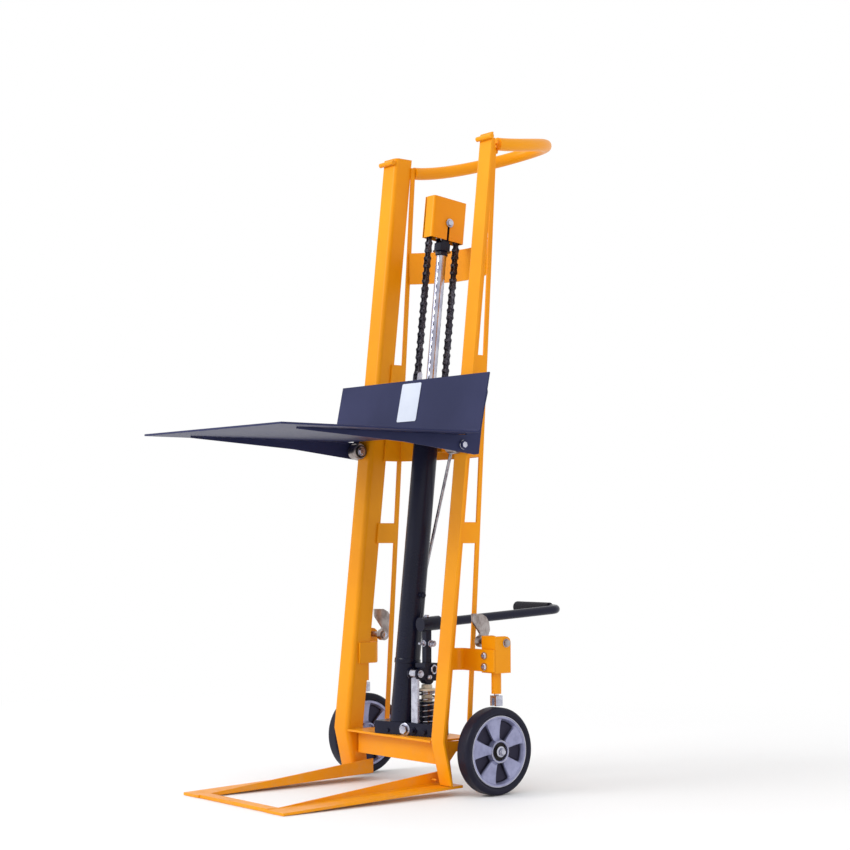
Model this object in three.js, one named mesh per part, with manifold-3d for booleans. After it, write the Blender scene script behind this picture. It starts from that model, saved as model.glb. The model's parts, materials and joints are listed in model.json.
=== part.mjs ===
// Manual platform stacker with a leaning two-post mast, a foot-pumped ram and a chain-hung platform.
// Millimetres, +Z up. -Y is the platform side, +Y the handle side, X runs across the machine.
// The origin lies on the floor under the middle of the overall box.
import * as THREE from 'three';
import { mergeVertices } from 'three/addons/utils/BufferGeometryUtils.js';
import Module from 'manifold-3d';

const wasm = await Module();
wasm.setup();

// ---- Driving dimensions -------------------------------------------------------------------------
const GAP = 0.3; // clearance between touching pieces
const CENTRE_Y = 107; // moves the overall box onto the origin

const POST_IN = 161; // inner face of the post web, from the centre plane
const POST_FLANGE = 50; // width of the front flange
const POST_WEB = 50; // depth of the web
const POST_T = 5; // thickness of the angle
const POST_BEND = 11; // outer bend radius of the angle
const KNEE_Y = -121; // front face of the post at the knee
const KNEE_Z = 125;
const SLOPE = 0.109; // rearward lean of the mast per unit of height
const LEAN = Math.atan(SLOPE);
const TOP_Z = 1557; // top of the posts
const FOOT_Y = -96; // front face of the post where it meets the leg
const FOOT_Z = 22.6;
const FOOT_WEB = 41;

const STRUT_T = 5;
const STRUT_W = 12;
const STRUT_Y0 = -12.7; // front edge of the strut at floor height
const STRUT_SLOPE = 0.061;
const STRUT_LOW = 110.5;
const STRUT_TOP = 1536;

const AXLE_Z = 100;
const AXLE_R = 10;
const WHEEL_X = 251;
const WHEEL_R = 100;
const WHEEL_W = 40;
const RIM_R = 82;

const LEG_IN = 138; // inner face of the leg web
const LEG_OUT = 204;
const LEG_FRONT = -554;
const LEG_REAR = -56;
const LEG_RISE = 16; // height of the leg under the posts
const LEG_T = 6;

const AXIS_W = 45; // ram axis behind the post front faces
const CYL_R = 30;
const CYL_TOP = 760;
const ROD_R = 12.5;
const ROD_LOW = 404;
const FORK_S = 1184; // underside of the clevis, measured along the mast
const PULLEY_S = 1253;
const PULLEY_R = 42.8; // pitch radius, 14 teeth of 19.05 mm
const CHAIN_H = 6.2; // half height of a chain plate
const CHAIN_W = 8; // half width of the chain
const HOOK_S = 815; // top of the carriage chain hook
const ANCHOR_S = 732; // top of the fixed chain anchor

const DECK_X = 285.5; // half width of the platform
const DECK_FRONT = -618;
const DECK_BEND = -71;
const DECK_TOP = 834;
const DECK_T = 4.5;
const BACK_TOP_Y = -42.5;
const BACK_TOP_Z = 972;
const ARM_IN = 216;
const ARM_T = 5;
const ROLLER_R = 20;
const ROLLER_X = 174; // inner end of the rollers
const ROLLER_W = 30;
const LOW_ROLLER_S = 682;
const HIGH_ROLLER_S = 822;

const PUMP_X = 62;
const PUMP_Y = -48;
const BASE_TURN = 0.242; // turn of the hydraulic block seen from above, radians
const BASE_Z0 = 124.5;
const BASE_Z1 = 154;
const PEDAL_SLOPE = 0.0554;
const PEDAL_Z = 387.6; // height of the pedal tube at the pump
const PEDAL_R = 11;
const PEDAL_END_Y = 389;
const PIVOT_Y = -83;
const PIVOT_Z = 270;

const BRAKE_X = 254;
const BRAKE_Y = 3.5;

// ---- Colours --------------------------------------------------------------------------------------
const ORANGE = new THREE.MeshStandardMaterial({ color: 0xf39a1e, roughness: 0.38, metalness: 0.0 });
const NAVY = new THREE.MeshStandardMaterial({ color: 0x3b3f63, roughness: 0.45, metalness: 0.0 });
const BLACK = new THREE.MeshStandardMaterial({ color: 0x1b1c2a, roughness: 0.42, metalness: 0.1 });
const CHROME = new THREE.MeshStandardMaterial({ color: 0xd8dbe2, roughness: 0.12, metalness: 1.0 });
const STEEL = new THREE.MeshStandardMaterial({ color: 0x9a9ca6, roughness: 0.35, metalness: 1.0 });
const CAST = new THREE.MeshStandardMaterial({ color: 0xaeb0bd, roughness: 0.4, metalness: 0.9 });
const CHAIN = new THREE.MeshStandardMaterial({ color: 0x3a3740, roughness: 0.4, metalness: 0.9 });
const RUBBER = new THREE.MeshStandardMaterial({ color: 0x1d1d24, roughness: 0.75, metalness: 0.0 });
const CREAM = new THREE.MeshStandardMaterial({ color: 0xdcd7c6, roughness: 0.5, metalness: 0.0 });
const WHITE = new THREE.MeshStandardMaterial({ color: 0xf1f1ee, roughness: 0.5, metalness: 0.0 });

// ---- Geometry helpers -----------------------------------------------------------------------------
const v3 = (x, y, z) => new THREE.Vector3(x, y, z);
const v2 = (x, y) => new THREE.Vector2(x, y);

function signedVolume(points, faces) {
  let sum = 0;
  const n = new THREE.Vector3();
  for (let i = 0; i < faces.length; i += 3) {
    n.crossVectors(points[faces[i + 1]], points[faces[i + 2]]);
    sum += points[faces[i]].dot(n);
  }
  return sum;
}

function geometryOf(points, faces) {
  if (signedVolume(points, faces) < 0) {
    for (let i = 0; i < faces.length; i += 3) {
      [faces[i + 1], faces[i + 2]] = [faces[i + 2], faces[i + 1]];
    }
  }
  const geometry = new THREE.BufferGeometry();
  geometry.setAttribute('position', new THREE.Float32BufferAttribute(points.flatMap((p) => p.toArray()), 3));
  geometry.setIndex(faces);
  return geometry;
}

// A solid through a row of like sections. Each station is { section, o, a, b }: the section's x runs
// along a and its y along b, both measured from o.
function loft(stations) {
  const n = stations[0].section.length;
  const points = [];
  for (const { section, o, a, b } of stations) {
    for (const p of section) {
      points.push(o.clone().addScaledVector(a, p.x).addScaledVector(b, p.y));
    }
  }
  const faces = [];
  for (let i = 0; i + 1 < stations.length; i++) {
    for (let j = 0; j < n; j++) {
      const k = (j + 1) % n;
      const p = i * n;
      const q = p + n;
      faces.push(p + j, p + k, q + k, p + j, q + k, q + j);
    }
  }
  const last = (stations.length - 1) * n;
  for (const [i, j, k] of THREE.ShapeUtils.triangulateShape(stations[0].section, [])) {
    const ccw = THREE.ShapeUtils.area(stations[0].section) > 0;
    const [p, q] = ccw ? [k, j] : [j, k];
    faces.push(i, p, q);
    faces.push(last + i, last + q, last + p);
  }
  return orient(points, faces, n);
}

// The side walls follow the section's order; turn them if the caps run the other way.
function orient(points, faces, n) {
  const capEdge = new Set();
  const walls = faces.length;
  for (let i = 0; i < walls; i += 3) {
    for (const [p, q] of [[0, 1], [1, 2], [2, 0]]) {
      const key = `${faces[i + p]}_${faces[i + q]}`;
      if (capEdge.has(key)) {
        return flipWalls(points, faces, n);
      }
      capEdge.add(key);
    }
  }
  return geometryOf(points, faces);
}

function flipWalls(points, faces, n) {
  const wallFaces = (points.length / n - 1) * n * 6;
  for (let i = 0; i < wallFaces; i += 3) {
    [faces[i + 1], faces[i + 2]] = [faces[i + 2], faces[i + 1]];
  }
  return geometryOf(points, faces);
}

function circleSection(radius, sides) {
  return Array.from({ length: sides }, (_, i) => {
    const t = (2 * Math.PI * i) / sides;
    return v2(radius * Math.cos(t), radius * Math.sin(t));
  });
}

// A bar of constant section along a list of points; a is kept close to the given side vector.
function bar(section, path, side) {
  return loft(path.map((o, i) => {
    const before = path[Math.max(0, i - 1)];
    const after = path[Math.min(path.length - 1, i + 1)];
    const t = after.clone().sub(before).normalize();
    const a = side.clone().addScaledVector(t, -side.dot(t)).normalize();
    const b = t.clone().cross(a);
    let stretch = 1;
    if (i > 0 && i + 1 < path.length) {
      const u = o.clone().sub(before).normalize();
      stretch = 1 / Math.max(0.8, Math.abs(u.dot(t)));
    }
    return { section, o, a, b: b.multiplyScalar(stretch) };
  }));
}

// A flat strap standing on edge: a path in plan, an upright height and a thickness.
function strap(plan, z0, z1, thickness) {
  const h = thickness / 2;
  const section = [v2(-h, z0), v2(h, z0), v2(h, z1), v2(-h, z1)];
  return loft(plan.map((p, i) => {
    const before = plan[Math.max(0, i - 1)];
    const after = plan[Math.min(plan.length - 1, i + 1)];
    const t = after.clone().sub(before).normalize();
    let stretch = 1;
    if (i > 0 && i + 1 < plan.length) {
      stretch = 1 / Math.max(0.7, p.clone().sub(before).normalize().dot(t));
    }
    const a = v3(-t.y * stretch, t.x * stretch, 0);
    return { section, o: v3(p.x, p.y, 0), a, b: v3(0, 0, 1) };
  }));
}

function arc2(cx, cy, r, from, to, steps) {
  return Array.from({ length: steps + 1 }, (_, i) => {
    const t = from + ((to - from) * i) / steps;
    return v2(cx + r * Math.cos(t), cy + r * Math.sin(t));
  });
}

// A plate cut in the Y-Z plane, from x0 to x1.
function sidePlate(outline, x0, x1, holes = []) {
  const shape = new THREE.Shape(outline.map(([y, z]) => v2(y, z)));
  for (const [y, z, r] of holes) {
    shape.holes.push(new THREE.Path().absarc(y, z, r, 0, 2 * Math.PI, true));
  }
  const geometry = new THREE.ExtrudeGeometry(shape, { depth: x1 - x0, bevelEnabled: false, curveSegments: 20 });
  const m = new THREE.Matrix4().makeBasis(v3(0, 1, 0), v3(0, 0, 1), v3(1, 0, 0));
  m.setPosition(x0, 0, 0);
  return geometry.applyMatrix4(m);
}

function box(x0, x1, y0, y1, z0, z1) {
  const geometry = new THREE.BoxGeometry(x1 - x0, y1 - y0, z1 - z0);
  return geometry.translate((x0 + x1) / 2, (y0 + y1) / 2, (z0 + z1) / 2);
}

// A round bar from p to q.
function rod(p, q, radius, sides = 28) {
  const d = q.clone().sub(p);
  const geometry = new THREE.CylinderGeometry(radius, radius, d.length(), sides);
  const turn = new THREE.Quaternion().setFromUnitVectors(v3(0, 1, 0), d.clone().normalize());
  geometry.applyQuaternion(turn);
  const mid = p.clone().add(q).multiplyScalar(0.5);
  return geometry.translate(mid.x, mid.y, mid.z);
}

// A turned piece about the X axis: profile points are [radius, x].
function turnedX(profile, x, y, z, sides = 48) {
  const geometry = new THREE.LatheGeometry(profile.map(([r, u]) => v2(r, u)), sides);
  const m = new THREE.Matrix4().makeBasis(v3(0, 0, 1), v3(1, 0, 0), v3(0, 1, 0));
  geometry.applyMatrix4(m);
  return geometry.translate(x, y, z);
}

// A turned piece about the Z axis: profile points are [radius, z].
function turnedZ(profile, x, y, sides = 36) {
  const geometry = new THREE.LatheGeometry(profile.map(([r, z]) => v2(r, z)), sides);
  geometry.rotateX(Math.PI / 2);
  return geometry.translate(x, y, 0);
}

function toSolid(geometry) {
  const plain = geometry.clone();
  plain.deleteAttribute('normal');
  plain.deleteAttribute('uv');
  const merged = mergeVertices(plain, 1e-4);
  const vertProperties = new Float32Array(merged.attributes.position.array);
  const triVerts = new Uint32Array(dropSlivers(merged.index.array));
  const solid = new wasm.Manifold(new wasm.Mesh({ numProp: 3, vertProperties, triVerts }));
  return solid.volume() < 0 ? new wasm.Manifold(new wasm.Mesh({
    numProp: 3, vertProperties, triVerts: triVerts.reverse(),
  })) : solid;
}

function dropSlivers(index) {
  const kept = [];
  for (let i = 0; i < index.length; i += 3) {
    const [a, b, c] = [index[i], index[i + 1], index[i + 2]];
    if (a !== b && b !== c && c !== a) {
      kept.push(a, b, c);
    }
  }
  return kept;
}

function toGeometry(solid) {
  const mesh = solid.getMesh();
  const geometry = new THREE.BufferGeometry();
  const points = [];
  for (let i = 0; i < mesh.numVert; i++) {
    for (let k = 0; k < 3; k++) {
      points.push(mesh.vertProperties[i * mesh.numProp + k]);
    }
  }
  geometry.setAttribute('position', new THREE.Float32BufferAttribute(points, 3));
  geometry.setIndex(Array.from(mesh.triVerts));
  return geometry;
}

function join(first, ...others) {
  return toGeometry(others.reduce((sum, g) => sum.add(toSolid(g)), toSolid(first)));
}

function cut(first, ...others) {
  return toGeometry(others.reduce((sum, g) => sum.subtract(toSolid(g)), toSolid(first)));
}

const mirrored = (geometry) => {
  const copy = geometry.clone();
  const p = copy.attributes.position;
  for (let i = 0; i < p.count; i++) {
    p.setX(i, -p.getX(i));
  }
  const index = copy.index ? Array.from(copy.index.array) : Array.from({ length: p.count }, (_, i) => i);
  for (let i = 0; i < index.length; i += 3) {
    [index[i + 1], index[i + 2]] = [index[i + 2], index[i + 1]];
  }
  copy.setIndex(index);
  return copy;
};

// ---- Places on the machine ------------------------------------------------------------------------
const postY = (z) => KNEE_Y + SLOPE * (z - KNEE_Z);
const strutY = (z) => STRUT_Y0 + STRUT_SLOPE * z;

const model = new THREE.Group();
model.position.y = CENTRE_Y;
// In this group z runs along the mast from the knee and y squarely back from the post front faces.
const mast = new THREE.Group();
mast.position.set(0, KNEE_Y, KNEE_Z);
mast.rotation.x = -LEAN;
model.add(mast);

// The post front faces are level planes' cuts, so a point of the mast group is found as a world point.
const onMast = (x, w, s) => v3(
  x,
  KNEE_Y + w * Math.cos(LEAN) + s * Math.sin(LEAN),
  KNEE_Z - w * Math.sin(LEAN) + s * Math.cos(LEAN),
);

function add(parent, name, geometry, material) {
  const mesh = new THREE.Mesh(geometry, material);
  mesh.name = name;
  parent.add(mesh);
  return mesh;
}

function addPair(parent, name, geometry, material) {
  add(parent, `${name}_right`, geometry, material);
  add(parent, `${name}_left`, mirrored(geometry), material);
}

// ---- Mast -----------------------------------------------------------------------------------------
function postSection(web) {
  const inner = POST_BEND - POST_T;
  return [
    ...arc2(POST_BEND, POST_BEND, POST_BEND, Math.PI, 1.5 * Math.PI, 6),
    v2(POST_FLANGE, 0),
    v2(POST_FLANGE, POST_T),
    ...arc2(POST_BEND, POST_BEND, inner, 1.5 * Math.PI, Math.PI, 5),
    v2(POST_T, web),
    v2(0, web),
  ];
}

function post() {
  const a = v3(1, 0, 0);
  const b = v3(0, 1, 0);
  const body = loft([
    { section: postSection(FOOT_WEB), o: v3(POST_IN, FOOT_Y, FOOT_Z), a, b },
    { section: postSection(POST_WEB), o: v3(POST_IN, KNEE_Y, KNEE_Z), a, b },
    { section: postSection(POST_WEB), o: v3(POST_IN, postY(TOP_Z), TOP_Z), a, b },
  ]);
  const pegY = postY(TOP_Z - 12) - 5.2;
  const peg = rod(v3(POST_IN + 3, pegY, TOP_Z - 12), v3(POST_IN + 58, pegY, TOP_Z - 12), 6, 20);
  return join(body, peg);
}
addPair(model, 'mast_post', post(), ORANGE);

// A flat strut with the three ties that hold it to the post.
function strut() {
  const x1 = POST_IN - GAP;
  const x0 = x1 - STRUT_T;
  const edge = (z, back) => [strutY(z) + back, z];
  const flat = sidePlate(
    [edge(STRUT_LOW, 0), edge(STRUT_LOW, STRUT_W), edge(STRUT_TOP, STRUT_W), edge(STRUT_TOP, 0)],
    x0,
    x1,
  );
  const tie = (z0, z1) => {
    const front = (z) => postY(z) + POST_WEB - 9;
    return sidePlate([[front(z0), z0], [strutY(z0) + 3, z0], [strutY(z1) + 3, z1], [front(z1), z1]], x0, x1);
  };
  return join(flat, tie(577, 627), tie(782, 862), tie(976, 1026));
}
addPair(model, 'rear_strut', strut(), ORANGE);

// Handle bow: half an oval in plan, rising to the rear, from strut to strut.
const HANDLE_R = 16;
const HANDLE_HALF = 163;
const HANDLE_Y0 = 93.6;
const HANDLE_REACH = 270;
const HANDLE_Z0 = 1533.8;
const HANDLE_RISE = 57.2;
const HANDLE_POWER = 1.4; // above 1, so the arms leave the struts nearly level
const HANDLE_TILT = 0.06;
function handleBow() {
  const steps = 44;
  const path = Array.from({ length: steps + 1 }, (_, i) => {
    const t = (Math.PI * i) / steps;
    const x = -HANDLE_HALF * Math.cos(t);
    const y = HANDLE_Y0 + HANDLE_REACH * Math.sin(t);
    const rise = HANDLE_RISE * Math.max(0, Math.sin(t)) ** HANDLE_POWER;
    return v3(x, y, HANDLE_Z0 + rise + HANDLE_TILT * x);
  });
  const section = circleSection(HANDLE_R, 14);
  const stations = path.map((o, i) => {
    const before = path[Math.max(0, i - 1)];
    const after = path[Math.min(steps, i + 1)];
    const t = after.clone().sub(before).normalize();
    const a = v3(t.y, -t.x, 0).normalize();
    const b = t.clone().cross(a);
    return { section, o, a, b };
  });
  for (const end of [0, steps]) {
    stations[end].a = v3(end === 0 ? 1 : -1, 0, 0);
    stations[end].b = v3(0, 0, 1).multiplyScalar(Math.sign(stations[end].b.z) || 1);
  }
  return loft(stations);
}
add(model, 'handle_bow', handleBow(), ORANGE);

// Straps between the struts, bowed rearwards so that the ram and the chain cover pass in front of them.
function bow(half, y0, sag, steps) {
  const r = (half * half + sag * sag) / (2 * sag);
  return Array.from({ length: steps + 1 }, (_, i) => {
    const x = -half + (2 * half * i) / steps;
    return v2(x, y0 + sag - r + Math.sqrt(r * r - x * x));
  });
}
const STRAP_HALF = POST_IN - GAP - STRUT_T - 2;
const strapY = (z) => strutY(z) + STRUT_W / 2;
add(model, 'upper_strap', strap(bow(STRAP_HALF, strapY(1274), 67, 20), 1234, 1314, 4), ORANGE);

function lowerStrap() {
  const y = strutY(862) + STRUT_W + 3;
  const band = strap(bow(STRAP_HALF, strapY(822), y + 15 - strapY(822), 12), 782, 862, 4);
  const end = onMast(0, AXIS_W + PULLEY_R, ANCHOR_S);
  const block = box(-13, 13, end.y - 7, y + 13.5, 800, end.z - 10);
  const lug = box(-4, 4, end.y - 5, end.y + 5, 820, end.z - 1);
  return join(band, block, lug);
}
add(model, 'lower_strap', lowerStrap(), ORANGE);

// ---- Base -----------------------------------------------------------------------------------------
function shelf() {
  const x1 = POST_IN - GAP;
  const x2 = x1 - STRUT_T - GAP;
  const outline = [[-x1, -118], [x1, -118], [x1, -15], [x2, -15], [x2, 14], [-x2, 14], [-x2, -15], [-x1, -15]];
  const shape = new THREE.Shape(outline.map(([x, y]) => v2(x, y)));
  return new THREE.ExtrudeGeometry(shape, { depth: 5, bevelEnabled: false }).translate(0, 0, 119);
}
add(model, 'base_shelf', shelf(), ORANGE);

function crossPlate() {
  const x = POST_IN - GAP - 2;
  const plan = [
    v2(-x, -58),
    ...arc2(-x + 12, -78, 12, Math.PI, 1.5 * Math.PI, 5),
    ...arc2(x - 12, -78, 12, 1.5 * Math.PI, 2 * Math.PI, 5),
    v2(x, -58),
  ];
  return strap(plan, 67, 118.7, 4);
}
add(model, 'cross_plate', crossPlate(), ORANGE);

function axleBracket() {
  const eye = arc2(0, AXLE_Z, 19, -0.62 * Math.PI, 0.62 * Math.PI, 12).map((p) => [p.x, p.y]);
  const outline = [[-69.5, 118.6], [-62.4, 74], [-43, 95], ...eye, [-40, 118.6]];
  return sidePlate(outline, POST_IN, POST_IN + POST_T, [[0, AXLE_Z, AXLE_R + GAP]]);
}
addPair(model, 'axle_bracket', axleBracket(), ORANGE);

const AXLE_END = 272;
function axle() {
  const r = AXLE_R;
  const profile = [
    [0, -AXLE_END], [r, -AXLE_END], [r, -230.6], [14, -230.6], [14, -205], [r, -205],
    [r, 205], [14, 205], [14, 230.6], [r, 230.6], [r, AXLE_END], [0, AXLE_END],
  ];
  return turnedX(profile, 0, 0, AXLE_Z, 28);
}
add(model, 'axle', axle(), STEEL);
addPair(model, 'axle_nut', rod(v3(AXLE_END + GAP, 0, AXLE_Z), v3(AXLE_END + 9, 0, AXLE_Z), 13, 6), CHROME);

// Leg: an angle with its flange outward near the floor and a web that grows towards the posts.
function leg() {
  const legZ = (y) => (LEG_RISE * (y - LEG_FRONT)) / (LEG_REAR - LEG_FRONT);
  const section = (webTop) => [
    v2(0, 0), v2(LEG_OUT - LEG_IN, 0), v2(LEG_OUT - LEG_IN, LEG_T), v2(8, LEG_T),
    v2(5, Math.min(LEG_T + 3, webTop - 0.4)), v2(5, webTop), v2(0, webTop),
  ];
  const station = (y, webTop) => ({
    section: section(webTop), o: v3(LEG_IN, y, legZ(y)), a: v3(1, 0, 0), b: v3(0, 0, 1),
  });
  return loft([station(LEG_FRONT, LEG_T + 0.6), station(-520, LEG_T + 1), station(LEG_REAR, 35)]);
}
addPair(model, 'leg', leg(), ORANGE);
add(model, 'front_bar', box(-LEG_IN + GAP, LEG_IN - GAP, -552, -522, 0, 8), ORANGE);

// ---- Wheels ---------------------------------------------------------------------------------------
function tyre() {
  const w = WHEEL_W / 2;
  const outer = WHEEL_R;
  const inner = RIM_R + GAP;
  const profile = [
    [inner, -w + 3], [inner + 4, -w], [outer - 9, -w], [outer - 3, -w + 3], [outer, -w + 9],
    [outer, w - 9], [outer - 3, w - 3], [outer - 9, w], [inner + 4, w], [inner, w - 3], [inner, -w + 3],
  ];
  return turnedX(profile, WHEEL_X, 0, AXLE_Z, 64);
}

function hub() {
  const bore = AXLE_R + GAP;
  const w = WHEEL_W / 2;
  const profile = [
    [bore, -20], [26, -20], [28, -9], [70, -7], [74, -w + 2], [RIM_R, -w + 2],
    [RIM_R, w - 2], [74, w - 2], [70, 7], [28, 9], [26, 20.5], [bore, 20.5], [bore, -20],
  ];
  return turnedX(profile, WHEEL_X, 0, AXLE_Z, 48);
}
addPair(model, 'wheel_tyre', tyre(), RUBBER);
addPair(model, 'wheel_hub', hub(), CAST);

// ---- Brakes ---------------------------------------------------------------------------------------
// A strap from the inner face of the post web carries the housing in front of which it passes.
function brakeStrap() {
  const x = POST_IN - GAP - 2.5;
  const y = -20 - GAP - 2.5;
  const r = 17;
  const plan = [v2(x, -84), ...arc2(x + r, y - r, r, Math.PI, 0.5 * Math.PI, 7), v2(BRAKE_X + 24, y)];
  return strap(plan, 282, 333, 5);
}
addPair(model, 'brake_strap', brakeStrap(), ORANGE);

// Folded housing, open to the rear and the top, with the guide tube of the shoe stem below.
const CHEEK_T = 4;
const BRAKE_PIN = [12.7, 347.8];
function brakeHousing() {
  const x0 = BRAKE_X - 24;
  const x1 = BRAKE_X + 24;
  const outline = [[-20, 279], [27, 279], [27, 350], [24.5, 357], [18, 362], [10, 363.5], [-20, 363.5]];
  const hole = [[...BRAKE_PIN, 7.4]];
  const shell = join(
    sidePlate(outline, x0, x0 + CHEEK_T, hole),
    sidePlate(outline, x1 - CHEEK_T, x1, hole),
    box(x0, x1, -20, -20 + CHEEK_T, 279, 363.5),
    box(x0, x1, -20, 27, 279, 284),
    rod(v3(BRAKE_X, BRAKE_Y, 231), v3(BRAKE_X, BRAKE_Y, 282), 11.5, 24),
  );
  return cut(shell, rod(v3(BRAKE_X, BRAKE_Y, 220), v3(BRAKE_X, BRAKE_Y, 300), 6.1, 20));
}
addPair(model, 'brake_housing', brakeHousing(), ORANGE);

function brakeShoe() {
  const stem = rod(v3(BRAKE_X, BRAKE_Y, 222), v3(BRAKE_X, BRAKE_Y, 336), 5.7, 20);
  const top = box(BRAKE_X - 11, BRAKE_X + 11, BRAKE_Y - 10, BRAKE_Y + 10, 221, 227);
  const leg = (x0, x1) => box(x0, x1, BRAKE_Y - 10, BRAKE_Y + 10, 203.2, 222);
  return join(stem, top, leg(BRAKE_X - 11, BRAKE_X - 4), leg(BRAKE_X + 4, BRAKE_X + 11));
}
addPair(model, 'brake_shoe', brakeShoe(), STEEL);

// Foot lever on the inner end of a cross shaft that runs through both cheeks of the housing.
function brakeLever() {
  const [y, z] = BRAKE_PIN;
  const along = (x0, x1, r, sides) => rod(v3(x0, y, z), v3(x1, y, z), r, sides);
  const outline = [
    [3, 352], [9, 366], [-14, 395], [-15, 413], [13, 412], [27, 405], [36, 392], [39, 374], [29, 350], [14, 340],
  ];
  return join(
    sidePlate(outline, 186, 192),
    along(183, 197, 14, 32),
    along(179, 184, 9.5, 24),
    along(190, BRAKE_X + 24 + GAP, 7, 24),
    along(BRAKE_X - 8, BRAKE_X + 8, 10, 24),
    along(BRAKE_X + 24 + GAP, 284.5, 9, 6),
  );
}
addPair(model, 'brake_lever', brakeLever(), STEEL);

// ---- Hydraulic unit ---------------------------------------------------------------------------------
const BASE_Y = KNEE_Y + AXIS_W;
function onBase(x, y, z) {
  const c = Math.cos(BASE_TURN);
  const s = Math.sin(BASE_TURN);
  return v3(x * c - y * s, BASE_Y + x * s + y * c, z);
}

function pumpBase() {
  const block = box(-60, 112, -28, 38, BASE_Z0, BASE_Z1);
  block.rotateZ(BASE_TURN).translate(0, BASE_Y, 0);
  const boss = rod(onBase(-55, 4, 139), onBase(-78, 4, 139), 9, 20);
  const eye = rod(onBase(58, -20, 137), onBase(58, -32, 137), 9, 20);
  return join(block, boss, eye);
}
add(model, 'pump_base', pumpBase(), BLACK);
add(model, 'base_plug', rod(onBase(32, -28 - GAP, 138), onBase(32, -38, 138), 12, 6), CHROME);

function cylinder() {
  const profile = [
    [ROD_R + 0.4, 20], [CYL_R, 20], [CYL_R, CYL_TOP], [ROD_R + 0.4, CYL_TOP], [ROD_R + 0.4, 20],
  ];
  const tube = turnedZ(profile, 0, AXIS_W, 40);
  const filler = rod(v3(CYL_R - 4, AXIS_W, 335), v3(CYL_R + 8, AXIS_W, 335), 6, 16);
  const body = join(tube, filler);
  body.rotateX(-LEAN).translate(0, KNEE_Y, KNEE_Z);
  return cut(body, box(-60, 60, -160, 20, 100, BASE_Z1 + GAP));
}
add(model, 'cylinder', cylinder(), BLACK);

function gland() {
  const s = CYL_TOP + GAP;
  const r = ROD_R + 0.5;
  return turnedZ([[r, s], [33, s], [33, s + 20], [29, s + 24], [20, s + 30], [r, s + 30], [r, s]], 0, AXIS_W, 40);
}
add(mast, 'gland', gland(), BLACK);

function pumpBarrel() {
  const z = BASE_Z1 + GAP;
  return turnedZ([[13.5, z], [18, z], [18, 202], [13.5, 202], [13.5, z]], PUMP_X, PUMP_Y, 28);
}
add(model, 'pump_barrel', pumpBarrel(), BLACK);

function plunger() {
  const profile = [[0, 176], [13, 176], [13, 229], [25, 229], [25, 233], [13, 233], [13, 243], [0, 243]];
  return turnedZ(profile, PUMP_X, PUMP_Y, 32);
}
add(model, 'pump_plunger', plunger(), CREAM);

function pumpSpring() {
  return turnedZ([[19, 155], [24, 155], [24, 228.6], [19, 228.6], [19, 155]], PUMP_X, PUMP_Y, 28);
}
add(model, 'pump_spring', pumpSpring(), STEEL);

function pivotBracket() {
  const x0 = PUMP_X - 12;
  const x1 = PUMP_X + 12;
  const plate = box(x0, x1, PIVOT_Y - 3, PIVOT_Y + 3, BASE_Z1 + GAP, PIVOT_Z - 6);
  const eye = rod(v3(x0, PIVOT_Y, PIVOT_Z), v3(x1, PIVOT_Y, PIVOT_Z), 10, 24);
  const hole = rod(v3(x0 - 5, PIVOT_Y, PIVOT_Z), v3(x1 + 5, PIVOT_Y, PIVOT_Z), 5.5, 20);
  return cut(join(plate, eye), hole);
}
add(model, 'pump_pivot_bracket', pivotBracket(), STEEL);

// ---- Pedal ------------------------------------------------------------------------------------------
const pedalZ = (y) => PEDAL_Z + PEDAL_SLOPE * (y + 12);
function pumpLever() {
  const x = PUMP_X;
  const cheek = (x0, x1) => sidePlate(
    [[-94, 264], [-90, 258], [-40, 254], [-40, 286], [-84, 282], [-94, 276]],
    x0,
    x1,
  );
  const block = box(x - 18, x + 18, -68, -30, 252, 294);
  const nose = rod(v3(x - 12, PUMP_Y, 255.5), v3(x + 12, PUMP_Y, 255.5), 12, 24);
  const arm = box(x - 8, x + 8, -56, -40, 290, 378);
  const socket = rod(v3(x, -68, pedalZ(-68)), v3(x, -12, pedalZ(-12)), 17, 28);
  const pin = rod(v3(x - 20, PIVOT_Y, PIVOT_Z), v3(x + 20, PIVOT_Y, PIVOT_Z), 5, 20);
  const bore = rod(v3(x, -40, pedalZ(-40)), v3(x, 10, pedalZ(10)), PEDAL_R + GAP, 24);
  const body = join(block, cheek(x - 18, x - 12.5), cheek(x + 12.5, x + 18), nose, arm, socket, pin);
  return cut(body, bore);
}
add(model, 'pump_lever', pumpLever(), BLACK);

const PEDAL_BEND = 34;
const GRIP_X0 = 20;
const GRIP_X1 = -106;
function pedalTube() {
  const y = PEDAL_END_Y;
  const r = PEDAL_BEND;
  const turn = arc2(PUMP_X - r, y - r, r, 0, 0.5 * Math.PI, 8);
  const flat = [v2(PUMP_X, -38), ...turn, v2(GRIP_X1 + 6, y)];
  const path = flat.map((p) => v3(p.x, p.y, pedalZ(Math.min(p.y, y))));
  return bar(circleSection(PEDAL_R, 16), path, v3(0, 0, 1));
}
add(model, 'pedal_tube', pedalTube(), BLACK);

function pedalGrip() {
  const r = PEDAL_R + 0.4;
  const profile = [
    [0, GRIP_X1], [13, GRIP_X1], [15, GRIP_X1 + 2], [15, GRIP_X0 - 1], [14, GRIP_X0], [r, GRIP_X0],
    [r, GRIP_X1 + 5], [0, GRIP_X1 + 5],
  ];
  return turnedX(profile, 0, PEDAL_END_Y, pedalZ(PEDAL_END_Y), 24);
}
add(model, 'pedal_grip', pedalGrip(), RUBBER);

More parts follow.
